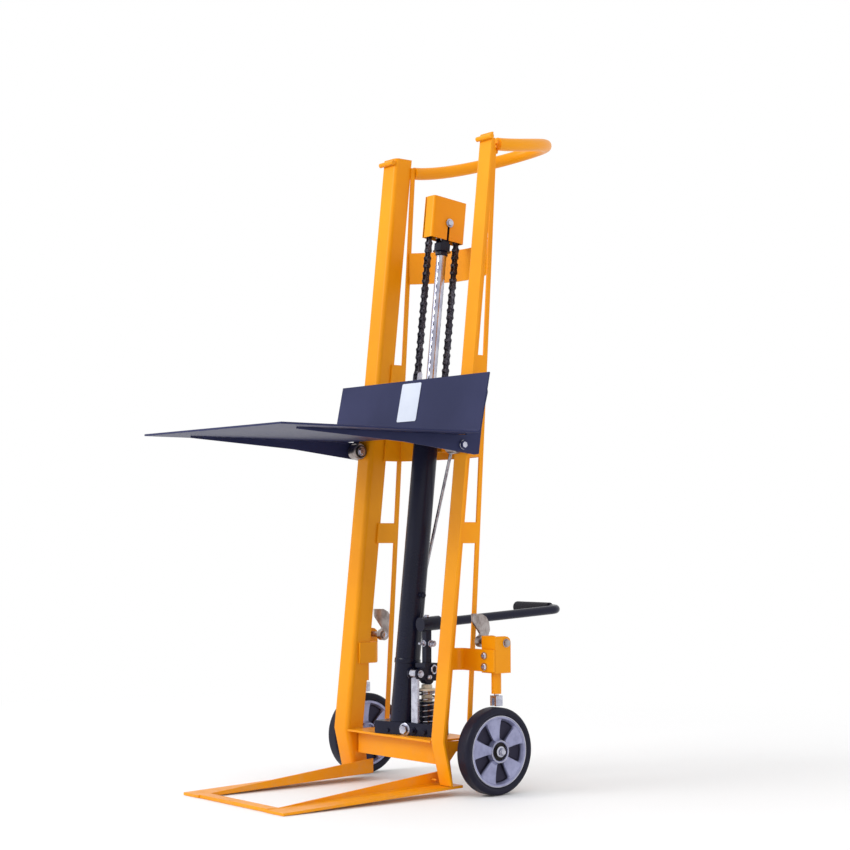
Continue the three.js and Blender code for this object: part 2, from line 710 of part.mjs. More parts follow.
// Release rod: up from the shelf behind the ram, then across to the right-hand post.
const RELEASE_LOW = v3(-49, -20, 128);
const RELEASE_BEND = v3(-49, 23, 455);
const RELEASE_HIGH = v3(134, 23, 985);
function releaseRod() {
  const below = RELEASE_BEND.clone().lerp(RELEASE_LOW, 0.06);
  const above = RELEASE_BEND.clone().lerp(RELEASE_HIGH, 0.035);
  const corner = below.clone().add(above).multiplyScalar(0.3).addScaledVector(RELEASE_BEND, 0.4);
  const stem = bar(circleSection(4, 12), [RELEASE_LOW, below, corner, above, RELEASE_HIGH], v3(0, 1, 0));
  const d = RELEASE_HIGH.clone().sub(RELEASE_BEND).normalize();
  const knobTop = RELEASE_HIGH.clone().addScaledVector(d, 14);
  return join(stem, rod(RELEASE_HIGH.clone().addScaledVector(d, -12), knobTop, 9, 16));
}
add(model, 'release_rod', releaseRod(), STEEL);

// ---- Ram, pulley and chain (mast group) ---------------------------------------------------------------
add(mast, 'piston_rod', rod(v3(0, AXIS_W, ROD_LOW), v3(0, AXIS_W, FORK_S - GAP), ROD_R, 32), CHROME);

function clevis() {
  const w = AXIS_W;
  const block = box(-13, 13, w - 15, w + 15, FORK_S, FORK_S + 20);
  const cheek = (x0, x1) => box(x0, x1, w - 11, w + 11, FORK_S + 19, PULLEY_S + 14);
  const hole = rod(v3(-20, w, PULLEY_S), v3(20, w, PULLEY_S), 7.3, 24);
  return cut(join(block, cheek(-13, -9.6), cheek(9.6, 13)), hole);
}
add(mast, 'rod_clevis', clevis(), BLACK);
add(mast, 'pulley_pin', rod(v3(-14.6, AXIS_W, PULLEY_S), v3(22.5, AXIS_W, PULLEY_S), 7, 24), CHROME);

function pulley() {
  const r = PULLEY_R - CHAIN_H - GAP;
  const profile = [[7.4, -9], [16, -9], [16, -7], [r, -7], [r, 7], [16, 7], [16, 9], [7.4, 9], [7.4, -9]];
  return turnedX(profile, 0, AXIS_W, PULLEY_S, 40);
}
add(mast, 'chain_pulley', pulley(), STEEL);

// Two-part cover: the right shell wraps the front and back edges, the left sheet closes the other side.
const COVER_HALF = 52;
const COVER_S0 = PULLEY_S - 43;
const COVER_S1 = PULLEY_S + 61;
const COVER_X1 = 20;
const COVER_BEND = 5; // bend radius of its folded edges
const COVER_X0 = -10;
function coverShell() {
  const t = 1.6;
  const r = COVER_BEND;
  const x = COVER_X1 - t / 2;
  const y0 = AXIS_W - COVER_HALF + t / 2;
  const y1 = AXIS_W + COVER_HALF - t / 2;
  const plan = [
    v2(COVER_X0, y0),
    ...arc2(x - r, y0 + r, r, -0.5 * Math.PI, 0, 5),
    ...arc2(x - r, y1 - r, r, 0, 0.5 * Math.PI, 5),
    v2(COVER_X0, y1),
  ];
  const shell = strap(plan, COVER_S0, COVER_S1, t);
  const slot = box(10, 30, AXIS_W - 3.5, AXIS_W + 3.5, COVER_S0 - 5, PULLEY_S - 5);
  const pinHole = rod(v3(10, AXIS_W, PULLEY_S), v3(30, AXIS_W, PULLEY_S), 7.4, 24);
  return cut(shell, slot, pinHole);
}
add(mast, 'chain_cover_shell', coverShell(), ORANGE);
add(
  mast,
  'chain_cover_back',
  box(-16.6, -15, AXIS_W - COVER_HALF, AXIS_W + COVER_HALF, COVER_S0, COVER_S1),
  ORANGE,
);

function chainWrap() {
  const steps = 24;
  const section = [v2(-CHAIN_W, -CHAIN_H), v2(CHAIN_W, -CHAIN_H), v2(CHAIN_W, CHAIN_H), v2(-CHAIN_W, CHAIN_H)];
  return loft(Array.from({ length: steps + 1 }, (_, i) => {
    const t = (Math.PI * i) / steps;
    const b = v3(0, Math.cos(t), Math.sin(t));
    return { section, o: v3(0, AXIS_W, PULLEY_S + GAP).addScaledVector(b, PULLEY_R), a: v3(1, 0, 0), b };
  }));
}
add(mast, 'chain_over_pulley', chainWrap(), CHAIN);

function chainRun(w, s0, s1) {
  return box(-CHAIN_W, CHAIN_W, w - CHAIN_H, w + CHAIN_H, s0, s1);
}
add(mast, 'chain_lift_run', chainRun(AXIS_W - PULLEY_R, HOOK_S + GAP, PULLEY_S), CHAIN);
add(mast, 'chain_fixed_run', chainRun(AXIS_W + PULLEY_R, ANCHOR_S + GAP, PULLEY_S), CHAIN);

// ---- Carriage ---------------------------------------------------------------------------------------
function platform() {
  const back = v2(BACK_TOP_Y - DECK_BEND, BACK_TOP_Z - DECK_TOP).normalize();
  const n = v2(back.y, -back.x); // rearward normal of the back plate
  const t = DECK_T;
  const r = 9;
  const tilt = Math.atan2(-back.x, back.y);
  const bendY = DECK_BEND - r * (1 - Math.sin(-tilt));
  const c = v2(bendY, DECK_TOP + r);
  const inside = arc2(c.x, c.y, r, -0.5 * Math.PI, tilt, 6);
  const outside = arc2(c.x, c.y, r + t, tilt, -0.5 * Math.PI, 6);
  const last = inside[inside.length - 1];
  const run = (BACK_TOP_Z - last.y) / back.y;
  const top = last.clone().addScaledVector(back, run);
  const outline = [
    v2(DECK_FRONT, DECK_TOP - t), v2(DECK_FRONT, DECK_TOP), ...inside, top,
    top.clone().addScaledVector(n, t), ...outside,
  ];
  return sidePlate(outline.map((p) => [p.x, p.y]), -DECK_X, DECK_X);
}
add(model, 'platform', platform(), NAVY);

function sideArm() {
  const low = onMast(0, -ROLLER_R - 0.6, LOW_ROLLER_S);
  const high = onMast(0, POST_T + ROLLER_R + 0.6, HIGH_ROLLER_S);
  const z = DECK_TOP - DECK_T - GAP;
  const outline = [
    [-532, z], [-532, z - 4], [-240, 807], [-30, 783.5], [-18, 785], [-6, 870],
    [high.y + 17, high.z - 8], [high.y + 14, high.z + 17], [high.y - 22, high.z + 17], [-52, 862], [-56, z],
  ];
  const plate = sidePlate(outline, ARM_IN, ARM_IN + ARM_T);
  const pin = (p, x1) => rod(v3(ROLLER_X - 2, p.y, p.z), v3(x1, p.y, p.z), 6.5, 20);
  const head = rod(v3(ARM_IN + ARM_T - 1, low.y, low.z), v3(ARM_IN + ARM_T + 9, low.y, low.z), 11, 6);
  return join(plate, pin(low, ARM_IN + 1), pin(high, ARM_IN + 1), head);
}
addPair(model, 'side_arm', sideArm(), NAVY);

function roller(p) {
  const w = ROLLER_W;
  const profile = [
    [7, 0], [17, 0], [ROLLER_R, 2.5], [ROLLER_R, w - 2.5], [17, w], [7, w], [7, 0],
  ];
  return turnedX(profile, ROLLER_X, p.y, p.z, 32);
}
addPair(model, 'roller_low', roller(onMast(0, -ROLLER_R - 0.6, LOW_ROLLER_S)), STEEL);
addPair(model, 'roller_high', roller(onMast(0, POST_T + ROLLER_R + 0.6, HIGH_ROLLER_S)), STEEL);

// Chain hook: a shelf welded behind the back plate.
function chainHook() {
  const w = AXIS_W - PULLEY_R;
  const top = onMast(0, w, HOOK_S - GAP);
  const plateBack = (z) => BACK_TOP_Y + DECK_T + 0.9 - ((BACK_TOP_Z - z) * (BACK_TOP_Y - DECK_BEND)) / 138;
  return sidePlate(
    [
      [plateBack(880), 880], [top.y + 6, 915], [top.y + 7, top.z - 3], [top.y - 7, top.z - 1],
      [plateBack(925), 925],
    ],
    -14,
    14,
  );
}
add(model, 'chain_hook', chainHook(), NAVY);

// Plain label plate on the back plate.
function label() {
  const back = v3(0, BACK_TOP_Y - DECK_BEND, BACK_TOP_Z - DECK_TOP).normalize();
  const n = v3(0, -back.z, back.y);
  const geometry = new THREE.BoxGeometry(74, 0.8, 96);
  const m = new THREE.Matrix4().makeBasis(v3(1, 0, 0), n.clone().negate(), back);
  const mid = v3(3.5, BACK_TOP_Y, BACK_TOP_Z).addScaledVector(back, -56).addScaledVector(n, 0.9);
  m.setPosition(mid);
  return geometry.applyMatrix4(m);
}
add(model, 'plain_label', label(), WHITE);

export default model;
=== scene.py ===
"""Platform stacker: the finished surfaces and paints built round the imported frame.

Lengths in the helpers below are millimetres in the machine's own frame, with +Z up, -Y towards the platform
and the knee of the posts at y = -121. world() turns them into metres in the frame.
"""

import json
import math

import bmesh
import bpy
import numpy as np
from mathutils import Matrix, Vector

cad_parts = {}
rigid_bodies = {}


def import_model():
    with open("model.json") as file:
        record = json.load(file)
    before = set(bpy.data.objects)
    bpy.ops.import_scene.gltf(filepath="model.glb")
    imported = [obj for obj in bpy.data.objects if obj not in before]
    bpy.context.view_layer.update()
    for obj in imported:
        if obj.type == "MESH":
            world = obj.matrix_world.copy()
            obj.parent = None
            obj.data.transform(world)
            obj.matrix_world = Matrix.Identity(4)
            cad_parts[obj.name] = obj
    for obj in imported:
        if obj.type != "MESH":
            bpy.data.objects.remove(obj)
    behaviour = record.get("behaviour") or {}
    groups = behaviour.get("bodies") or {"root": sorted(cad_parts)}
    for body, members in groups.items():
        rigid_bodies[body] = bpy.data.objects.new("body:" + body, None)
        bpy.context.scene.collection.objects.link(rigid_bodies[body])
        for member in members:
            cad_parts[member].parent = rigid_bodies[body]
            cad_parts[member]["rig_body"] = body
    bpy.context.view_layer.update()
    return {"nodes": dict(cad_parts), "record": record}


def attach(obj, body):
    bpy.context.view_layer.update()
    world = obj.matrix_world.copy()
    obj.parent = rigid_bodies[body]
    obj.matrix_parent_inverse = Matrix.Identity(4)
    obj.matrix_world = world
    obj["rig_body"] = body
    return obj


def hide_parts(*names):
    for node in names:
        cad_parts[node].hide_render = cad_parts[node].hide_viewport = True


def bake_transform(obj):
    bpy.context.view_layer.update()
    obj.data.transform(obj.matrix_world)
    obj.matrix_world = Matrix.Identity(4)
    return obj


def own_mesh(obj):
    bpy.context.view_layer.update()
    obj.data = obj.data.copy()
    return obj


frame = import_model()

MM = 0.001
SHIFT = np.array([0.0, 107.0, 0.0])  # from the machine's frame to the middle of the overall box
LEAN = math.atan(0.109)  # rearward lean of the mast
KNEE_Y, KNEE_Z = -121.0, 125.0
AXIS_W = 45.0  # ram axis behind the front faces of the posts
PULLEY_S = 1253.0  # pulley centre, along the mast
PITCH = 19.05  # of the roller chain
PULLEY_R = 42.8
WHEEL_X, WHEEL_R = 251.0, 100.0  # middle plane of a wheel, and its radius
HANDLE_HALF, HANDLE_Y, HANDLE_Z = 163.0, 93.6, 1533.8  # ends of the handle bow
HANDLE_REACH, HANDLE_RISE, HANDLE_TILT = 270.0, 57.2, 0.06
BRAKE_PIN = (12.7, 347.8)  # y and z
ROLLER_PIN = {"low": (-20.6, 682.0), "high": (25.6, 822.0)}  # behind the posts, up the mast
SIDES = {"right": 1.0, "left": -1.0}


# ---- Places -----------------------------------------------------------------------------------------
def world(points):
    """Each point moved by the same step along y and turned from millimetres to metres."""
    return (np.asarray(points, float) + SHIFT) * MM


def on_mast(points):
    """(x, distance behind the post faces, distance up the mast) turned about X by the lean, from the knee."""
    x, w, s = np.moveaxis(np.asarray(points, float), -1, 0)
    c, n = math.cos(LEAN), math.sin(LEAN)
    return np.stack([x, KNEE_Y + w * c + s * n, KNEE_Z - w * n + s * c], -1)


def unit(v):
    """A vector over its own length."""
    v = np.asarray(v, float)
    return v / np.linalg.norm(v, axis=-1, keepdims=True)


# ---- Shapes -----------------------------------------------------------------------------------------
def circle(r, n=24):
    """n points at equal angles on a circle of radius r."""
    a = np.linspace(0, 2 * np.pi, n, endpoint=False)
    return np.stack([r * np.cos(a), r * np.sin(a)], -1)


def rounded(width, depth, r, n=5):
    """A rectangle whose corners are quarter circles of radius r."""
    a = np.linspace(0, np.pi / 2, n)
    quarter = [a + k * np.pi / 2 for k in range(4)]
    centres = [(1, 1), (-1, 1), (-1, -1), (1, -1)]
    rows = [
        np.stack([cx * (width / 2 - r) + r * np.cos(q), cy * (depth / 2 - r) + r * np.sin(q)], -1)
        for q, (cx, cy) in zip(quarter, centres)
    ]
    return np.concatenate(rows)


def skin(rings, loop=False):
    """Quads between each ring of points and the next; the ends are capped, or the last ring meets the first."""
    n, m = rings.shape[:2]
    i = np.arange(n if loop else n - 1)[:, None]
    j = np.arange(m)[None]
    k = (i + 1) % n
    quads = np.stack([i * m + j, i * m + (j + 1) % m, k * m + (j + 1) % m, k * m + j], -1)
    caps = [] if loop else [list(range(m))[::-1], list(range((n - 1) * m, n * m))]
    return rings.reshape(-1, 3), quads.reshape(-1, 4).tolist() + caps


def carry(path, section, up=(0, 0, 1), scale=None):
    """The section's two coordinates laid off along two directions square to the path at each of its points."""
    path = np.asarray(path, float)
    t = unit(np.gradient(path, axis=0))
    side = unit(np.cross(t, np.asarray(up, float)))
    top = np.cross(side, t)
    section = np.broadcast_to(section, (len(path), *np.shape(section)[-2:]))
    size = np.ones(len(path)) if scale is None else np.asarray(scale, float)
    across = side[:, None] * section[..., :1] + top[:, None] * section[..., 1:]
    return skin(path[:, None] + across * size[:, None, None])


def turned(profile, centre, axis, n=48, closed=False):
    """Points (radius, distance along the axis) turned round the axis in n equal steps."""
    profile = np.asarray(profile, float)
    axis = unit(axis)
    e = unit(np.cross(axis, (0.31, 0.52, 0.79)))
    f = np.cross(axis, e)
    a = np.linspace(0, 2 * np.pi, n, endpoint=False)
    out = np.cos(a)[:, None, None] * e + np.sin(a)[:, None, None] * f
    rings = np.asarray(centre, float) + profile[None, :, 1:] * axis + profile[None, :, :1] * out
    if closed:
        return skin(rings, loop=True)
    return skin(np.moveaxis(rings, 1, 0))


def rod(a, b, r, n=24, chamfer=0.6):
    """A round bar from a to b: a radius that is smaller by the chamfer at both ends."""
    a, b = np.asarray(a, float), np.asarray(b, float)
    length = np.linalg.norm(b - a)
    c = min(chamfer, r * 0.4, length * 0.3)
    return turned([(r - c, 0), (r, c), (r, length - c), (r - c, length)], a, b - a, n)


def hex_head(centre, axis, r, height):
    """A six-sided head with its outer corners turned off, on a thin washer."""
    centre, axis = np.asarray(centre, float), unit(axis)
    e = unit(np.cross(axis, (0.2, 0.3, 0.93)))
    f = np.cross(axis, e)
    rows = []
    for h, k in ((1.6, 0.99), (height * 0.82, 1.0), (height, 0.88), (height + 0.01, 0.5)):
        p = circle(r * k, 6)
        rows.append(centre + axis * h + p[:, :1] * e + p[:, 1:] * f)
    disc = [(0, 0), (r * 1.28, 0), (r * 1.32, 0.4), (r * 1.32, 1.3), (r * 1.26, 1.7), (0, 1.7)]
    return [skin(np.array(rows)), turned(disc, centre, axis, 32)]


def button_head(centre, axis, r):
    """A domed head with a sunk six-sided socket: height follows a circle's arc down from the rim of the socket."""
    t = np.linspace(0, 1, 9)
    t = t[::-1]
    dome = np.stack([r * np.sin(0.22 * np.pi + t * 0.28 * np.pi), 0.1 * r + 0.62 * r * (1 - t**2)], -1)
    centre, axis = np.asarray(centre, float), unit(axis)
    e = unit(np.cross(axis, (0.2, 0.3, 0.93)))
    f = np.cross(axis, e)
    rows = [centre + circle(r, 24)[:, :1] * e + circle(r, 24)[:, 1:] * f]
    for rad, h in dome:
        p = circle(rad, 24)
        rows.append(centre + axis * h + p[:, :1] * e + p[:, 1:] * f)
    top = dome[-1][1]
    a = np.arange(24) * 2 * np.pi / 24
    six = 0.46 * r * math.cos(np.pi / 6) / np.cos((a % (np.pi / 3)) - np.pi / 6)
    for h in (top, top - 0.35 * r):
        rows.append(centre + axis * h + (six * np.cos(a))[:, None] * e + (six * np.sin(a))[:, None] * f)
    return skin(np.array(rows))


def weld(path, r=2.4, lift=(0, 0, 1)):
    """A bead along a path: a circle whose radius swells and shrinks with each ripple of the weld."""
    path = np.asarray(path, float)
    steps = np.concatenate([[0], np.cumsum(np.linalg.norm(np.diff(path, axis=0), axis=1))])
    n = max(8, int(steps[-1] / 0.8))
    s = np.linspace(0, steps[-1], n)
    fine = np.stack([np.interp(s, steps, path[:, k]) for k in range(3)], -1)
    ripple = 1 + 0.13 * np.sin(s * 2 * np.pi / 3.4) + 0.05 * np.sin(s * 0.71)
    taper = np.clip(np.minimum(s, steps[-1] - s) / (1.5 * r) + 0.25, 0, 1)
    return carry(fine, circle(r, 10), lift, ripple * np.sqrt(taper))


# ---- Pieces -----------------------------------------------------------------------------------------
def piece(name, parts, finish, body, replaces=(), angle=38.0):
    """Closed surfaces gathered into one mesh, with doubled points merged and every face turned outwards."""
    points, faces, count = [], [], 0
    for p, f in parts:
        points.append(p)
        faces += [[i + count for i in face] for face in f]
        count += len(p)
    mesh = bpy.data.meshes.new(name)
    mesh.from_pydata(world(np.concatenate(points)).tolist(), [], faces)
    return dress(name, mesh, finish, body, replaces, angle)


def dress(name, mesh, finish, body, replaces, angle, bevel=0.0, flatten=False):
    """Merges, turns outwards, shades and beds a mesh as a piece that rides on a body."""
    bm = bmesh.new()
    bm.from_mesh(mesh)
    bmesh.ops.remove_doubles(bm, verts=bm.verts, dist=2e-6)
    if flatten:
        bmesh.ops.dissolve_limit(bm, angle_limit=math.radians(0.7), verts=bm.verts, edges=bm.edges)
    bmesh.ops.recalc_face_normals(bm, faces=bm.faces)
    bm.to_mesh(mesh)
    bm.free()
    mesh.shade_smooth()
    mesh.set_sharp_from_angle(angle=math.radians(angle))
    obj = bpy.data.objects.new(name, mesh)
    bpy.context.scene.collection.objects.link(obj)
    mesh.materials.append(finish)
    if bevel:
        m = obj.modifiers.new("Edges", "BEVEL")
        m.width = bevel * MM
        m.segments = 2
        m.limit_method = "ANGLE"
        m.angle_limit = math.radians(35)
        m.harden_normals = True
    if isinstance(body, str):
        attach(obj, body)
    if replaces:
        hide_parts(*replaces)
    return obj


def eased(node, finish, bevel):
    """A CAD piece with its sharp edges eased: the same faces, merged, with a narrow bevel."""
    source = frame["nodes"][node]
    mesh = bpy.data.meshes.new(node + "_eased")
    bm = bmesh.new()
    bm.from_mesh(source.data)
    for layer in list(bm.loops.layers.uv):
        bm.loops.layers.uv.remove(layer)
    bm.to_mesh(mesh)
    bm.free()
    return dress(node + "_eased", mesh, finish, source["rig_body"], (node,), 30.0, bevel, True)


slots = {row["node"]: row["material_slot"] for row in frame["record"]["subparts"]}


# ---- Paint ------------------------------------------------------------------------------------------
class Level:
    """A number that varies over a surface. Ordinary arithmetic on it adds the Math nodes."""

    def __init__(self, paint, socket):
        self.paint, self.socket = paint, socket

    def _do(self, operation, *values):
        made = self.paint.node("ShaderNodeMath", {"operation": operation}, dict(enumerate(values)))
        return Level(self.paint, made.outputs[0])

    def __add__(self, other):
        return self._do("ADD", self, other)

    def __sub__(self, other):
        return self._do("SUBTRACT", self, other)

    def __rsub__(self, other):
        return self._do("SUBTRACT", other, self)

    def __mul__(self, other):
        return self._do("MULTIPLY", self, other)

    __radd__ = __add__
    __rmul__ = __mul__

    def size(self):
        """The number without its sign."""
        return self._do("ABSOLUTE", self)

    def clamp(self):
        return self._do("MINIMUM", self._do("MAXIMUM", self, 0.0), 1.0)

    def step(self, low, high):
        """0 below low, 1 above high, and a smooth rise between them."""
        made = self.paint.node(
            "ShaderNodeMapRange",
            {"interpolation_type": "SMOOTHSTEP"},
            {"Value": self, "From Min": low, "From Max": high, "To Min": 0.0, "To Max": 1.0},
        )
        return Level(self.paint, made.outputs["Result"])


class Paint:
    """One material, whose nodes all come from node()."""

    def __init__(self, name):
        self.material = bpy.data.materials.new(name)
        self.material.use_nodes = True
        self.tree = self.material.node_tree
        self.shader = self.tree.nodes["Principled BSDF"]
        self.place = self.node("ShaderNodeTexCoord").outputs["Object"]

    def node(self, kind, settings=None, inputs=None):
        made = self.tree.nodes.new(kind)
        for key, value in (settings or {}).items():
            setattr(made, key, value)
        for key, value in (inputs or {}).items():
            self.feed(made.inputs[key], value)
        return made

    def feed(self, socket, value):
        if isinstance(value, Level):
            value = value.socket
        if isinstance(value, bpy.types.NodeSocket):
            self.tree.links.new(value, socket)
        else:
            socket.default_value = value

    def noise(self, scale, detail=4.0, roughness=0.55, stretch=None):
        """Even cloudiness; stretch draws it out along an axis."""
        where = self.place
        if stretch:
            where = self.node("ShaderNodeMapping", None, {"Vector": self.place, "Scale": stretch}).outputs[0]
        made = self.node(
            "ShaderNodeTexNoise", None, {"Vector": where, "Scale": scale, "Detail": detail, "Roughness": roughness}
        )
        return Level(self, made.outputs["Fac"])

    def cells(self, scale):
        """Distance to the nearest of many scattered points."""
        made = self.node("ShaderNodeTexVoronoi", {"feature": "F1"}, {"Vector": self.place, "Scale": scale})
        return Level(self, made.outputs["Distance"])

    def height(self):
        """How far a point is above the floor, in metres."""
        split = self.node("ShaderNodeSeparateXYZ", None, {"Vector": self.place})
        return Level(self, split.outputs["Z"])

    def from_middle(self, plane):
        """How far a point is, in metres along X, from the middle planes of a mirrored pair."""
        split = self.node("ShaderNodeSeparateXYZ", None, {"Vector": self.place})
        return (Level(self, split.outputs["X"]).size() - plane).size()

    def blend(self, share, first, second):
        """A colour between two others."""
        made = self.node(
            "ShaderNodeMix", {"data_type": "RGBA"}, {"Factor": share, 6: as_colour(first), 7: as_colour(second)}
        )
        return made.outputs[2]

    def relief(self, level, strength, depth):
        """Small relief: a Bump node that feeds the normal."""
        made = self.node("ShaderNodeBump", None, {"Height": level, "Strength": strength, "Distance": depth})
        return made.outputs["Normal"]

    def done(self, colour, rough, metal=0.0, normal=None, **constant):
        self.feed(self.shader.inputs["Base Color"], as_colour(colour))
        self.feed(self.shader.inputs["Roughness"], rough)
        self.feed(self.shader.inputs["Metallic"], metal)
        if normal is not None:
            self.feed(self.shader.inputs["Normal"], normal)
        for key, value in constant.items():
            self.shader.inputs[key.replace("_", " ")].default_value = value
        return self.material


def as_colour(value):
    """Red, green and blue, with full alpha added to plain numbers."""
    return (*value, 1.0) if isinstance(value, tuple) and len(value) == 3 else value


def powder_coat(name, base, deep, pale, rough, gloss_coat, shine, grain=0.00006):
    """Sprayed enamel: orange-peel relief, slow drift in shade, faint rub marks and floor dust low down."""
    p = Paint(name)
    drift = p.noise(5.0, 3.0)
    peel = p.noise(620.0, 2.0, 0.5)
    speck = p.noise(1800.0, 2.0, 0.6)
    rub = (p.noise(38.0, 6.0, 0.72) * p.noise(170.0, 3.0, 0.6)).step(0.33, 0.45)
    dust = (1 - p.height().step(0.0, 0.16)) * p.noise(26.0, 5.0, 0.65).step(0.42, 0.72)
    colour = p.blend(drift.step(0.3, 0.7), deep, base)
    colour = p.blend(speck.step(0.52, 0.8) * 0.35, colour, pale)
    colour = p.blend(rub * 0.14, colour, pale)
    colour = p.blend(dust * 0.14, colour, (0.42, 0.36, 0.3))
    shade = rough + (drift - 0.5) * 0.12 + rub * 0.12 + dust * 0.25 + (peel - 0.5) * 0.06
    return p.done(colour, shade.clamp(), 0.0, p.relief(peel + speck * 0.3, 0.5, grain), Coat_Weight=gloss_coat,
                  Coat_Roughness=0.18, Specular_IOR_Level=shine)


def plated(name, base, dark, rough, streak=(1, 1, 1), grain=0.00003, spots=0.25):
    """Bare or plated metal: fine drawn lines, cloudy plating and small dull spots."""
    p = Paint(name)
    cloud = p.noise(60.0, 5.0, 0.62)
    lines = p.noise(420.0, 3.0, 0.55, streak)
    pits = (1 - p.cells(900.0)).step(0.78, 0.95)
    colour = p.blend(cloud.step(0.35, 0.72), base, dark)
    colour = p.blend(pits * spots, colour, dark)
    shade = rough + (cloud - 0.5) * 0.22 + (lines - 0.5) * 0.2 + pits * 0.12
    return p.done(colour, shade.clamp(), 1.0, p.relief(lines + pits * 0.4, 0.4, grain))


def polished_rod():
    """Hard chrome with the faint cross rings of grinding and a thin film of oil."""
    p = Paint("hard_chrome")
    rings = p.noise(900.0, 2.0, 0.5, (0.05, 0.05, 1.0))
    film = p.noise(30.0, 4.0)
    colour = p.blend(film.step(0.4, 0.7), (0.5, 0.5, 0.58), (0.34, 0.34, 0.43))
    return p.done(colour, 0.1 + film * 0.1 + rings * 0.05, 1.0, p.relief(rings, 0.15, 0.00001))


def cast_alloy():
    """Cast and lightly tumbled aluminium: sand-like grain, with painted shade that makes the pockets between the
    spokes near-black.
    """
    p = Paint("cast_alloy")
    grain = p.cells(1500.0)
    cloud = p.noise(45.0, 5.0, 0.6)
    colour = p.blend(cloud.step(0.35, 0.75) * 0.6, (0.34, 0.35, 0.52), (0.2, 0.205, 0.33))
    # Painted shade: faces close to the wheel's middle plane, which are the pockets between the spokes, get a
    # near-black colour in place of real shade.
    painted_pocket_shade = p.from_middle(WHEEL_X * MM).step(0.0062, 0.0118)
    colour = p.blend(painted_pocket_shade, (0.03, 0.028, 0.05), colour)
    shade = 0.34 + cloud * 0.12 + grain * 0.1
    return p.done(colour, shade, 0.85, p.relief(grain + cloud * 0.5, 0.4, 0.0001))


def rubber(name, base, pale, rough):
    """Moulded rubber: very fine grain, a bloom of lighter dust and slow drift in gloss."""
    p = Paint(name)
    grain = p.noise(1500.0, 3.0, 0.6)
    bloom = (p.noise(22.0, 6.0, 0.7) + p.noise(140.0, 3.0) * 0.35).step(0.55, 0.95)
    colour = p.blend(bloom * 0.3, base, pale)
    shade = rough + bloom * 0.14 + (grain - 0.5) * 0.1
    return p.done(colour, shade.clamp(), 0.0, p.relief(grain, 0.45, 0.00008), Specular_IOR_Level=0.16)


def oiled_chain():
    """Dark heat-treated steel with oil in the joints and bright wear on the plates."""
    p = Paint("oiled_chain")
    wear = (p.noise(330.0, 5.0, 0.65) + p.noise(60.0, 3.0) * 0.4).step(0.66, 0.9)
    film = p.noise(90.0, 4.0)
    colour = p.blend(wear * 0.7, (0.022, 0.02, 0.03), (0.2, 0.19, 0.23))
    return p.done(colour, (0.3 + film * 0.2 - wear * 0.06).clamp(), 0.85, p.relief(film + wear * 0.3, 0.35, 0.00008))


def plastic(name, base, deep, rough):
    """Moulded plastic with a fine matt texture and a few scuffs."""
    p = Paint(name)
    grain = p.noise(1300.0, 2.0)
    scuff = (p.noise(70.0, 6.0, 0.7) * p.noise(260.0, 3.0)).step(0.3, 0.42)
    colour = p.blend(p.noise(14.0, 4.0).step(0.3, 0.75) * 0.7 + scuff * 0.25, base, deep)
    return p.done(colour, (rough + (grain - 0.5) * 0.12 + scuff * 0.1).clamp(), 0.0, p.relief(grain, 0.35, 0.00005))


orange = powder_coat(
    "orange_enamel", (0.86, 0.325, 0.002), (0.79, 0.282, 0.002), (0.92, 0.41, 0.01), 0.36, 0.05, 0.16
)
slate = powder_coat(
    "slate_enamel", (0.03, 0.034, 0.092), (0.022, 0.026, 0.074), (0.06, 0.065, 0.14), 0.4, 0.02, 0.1
)
black = powder_coat(
    "black_enamel", (0.008, 0.009, 0.027), (0.005, 0.006, 0.019), (0.025, 0.027, 0.06), 0.28, 0.04, 0.18
)
zinc = plated("zinc_plate", (0.56, 0.57, 0.66), (0.34, 0.34, 0.42), 0.26)
drawn = plated("drawn_steel", (0.42, 0.38, 0.37), (0.22, 0.18, 0.17), 0.32, (1, 1, 0.06), 0.00004, 0.5)
spring_wire = plated("spring_wire", (0.42, 0.41, 0.45), (0.16, 0.15, 0.18), 0.24, (0.3, 0.3, 1))
chrome = polished_rod()
alloy = cast_alloy()
tyre_rubber = rubber("tyre_rubber", (0.009, 0.009, 0.021), (0.03, 0.03, 0.055), 0.42)
grip_rubber = rubber("grip_rubber", (0.012, 0.012, 0.018), (0.04, 0.04, 0.055), 0.5)
chain_steel = oiled_chain()
cream = plastic("cream_plastic", (0.74, 0.7, 0.58), (0.58, 0.53, 0.42), 0.42)
label_white = plastic("label_white", (0.66, 0.71, 0.82), (0.58, 0.63, 0.75), 0.38)
seal = rubber("seal_rubber", (0.02, 0.018, 0.018), (0.06, 0.05, 0.05), 0.46)
FINISHES = {
    "orange_paint": orange, "slate_paint": slate, "black_paint": black, "chrome": chrome, "steel": zinc,
    "chain_steel": chain_steel, "cast_aluminium": alloy, "tyre_rubber": tyre_rubber, "grip_rubber": grip_rubber,
    "cream_plastic": cream, "white_label": label_white,
}

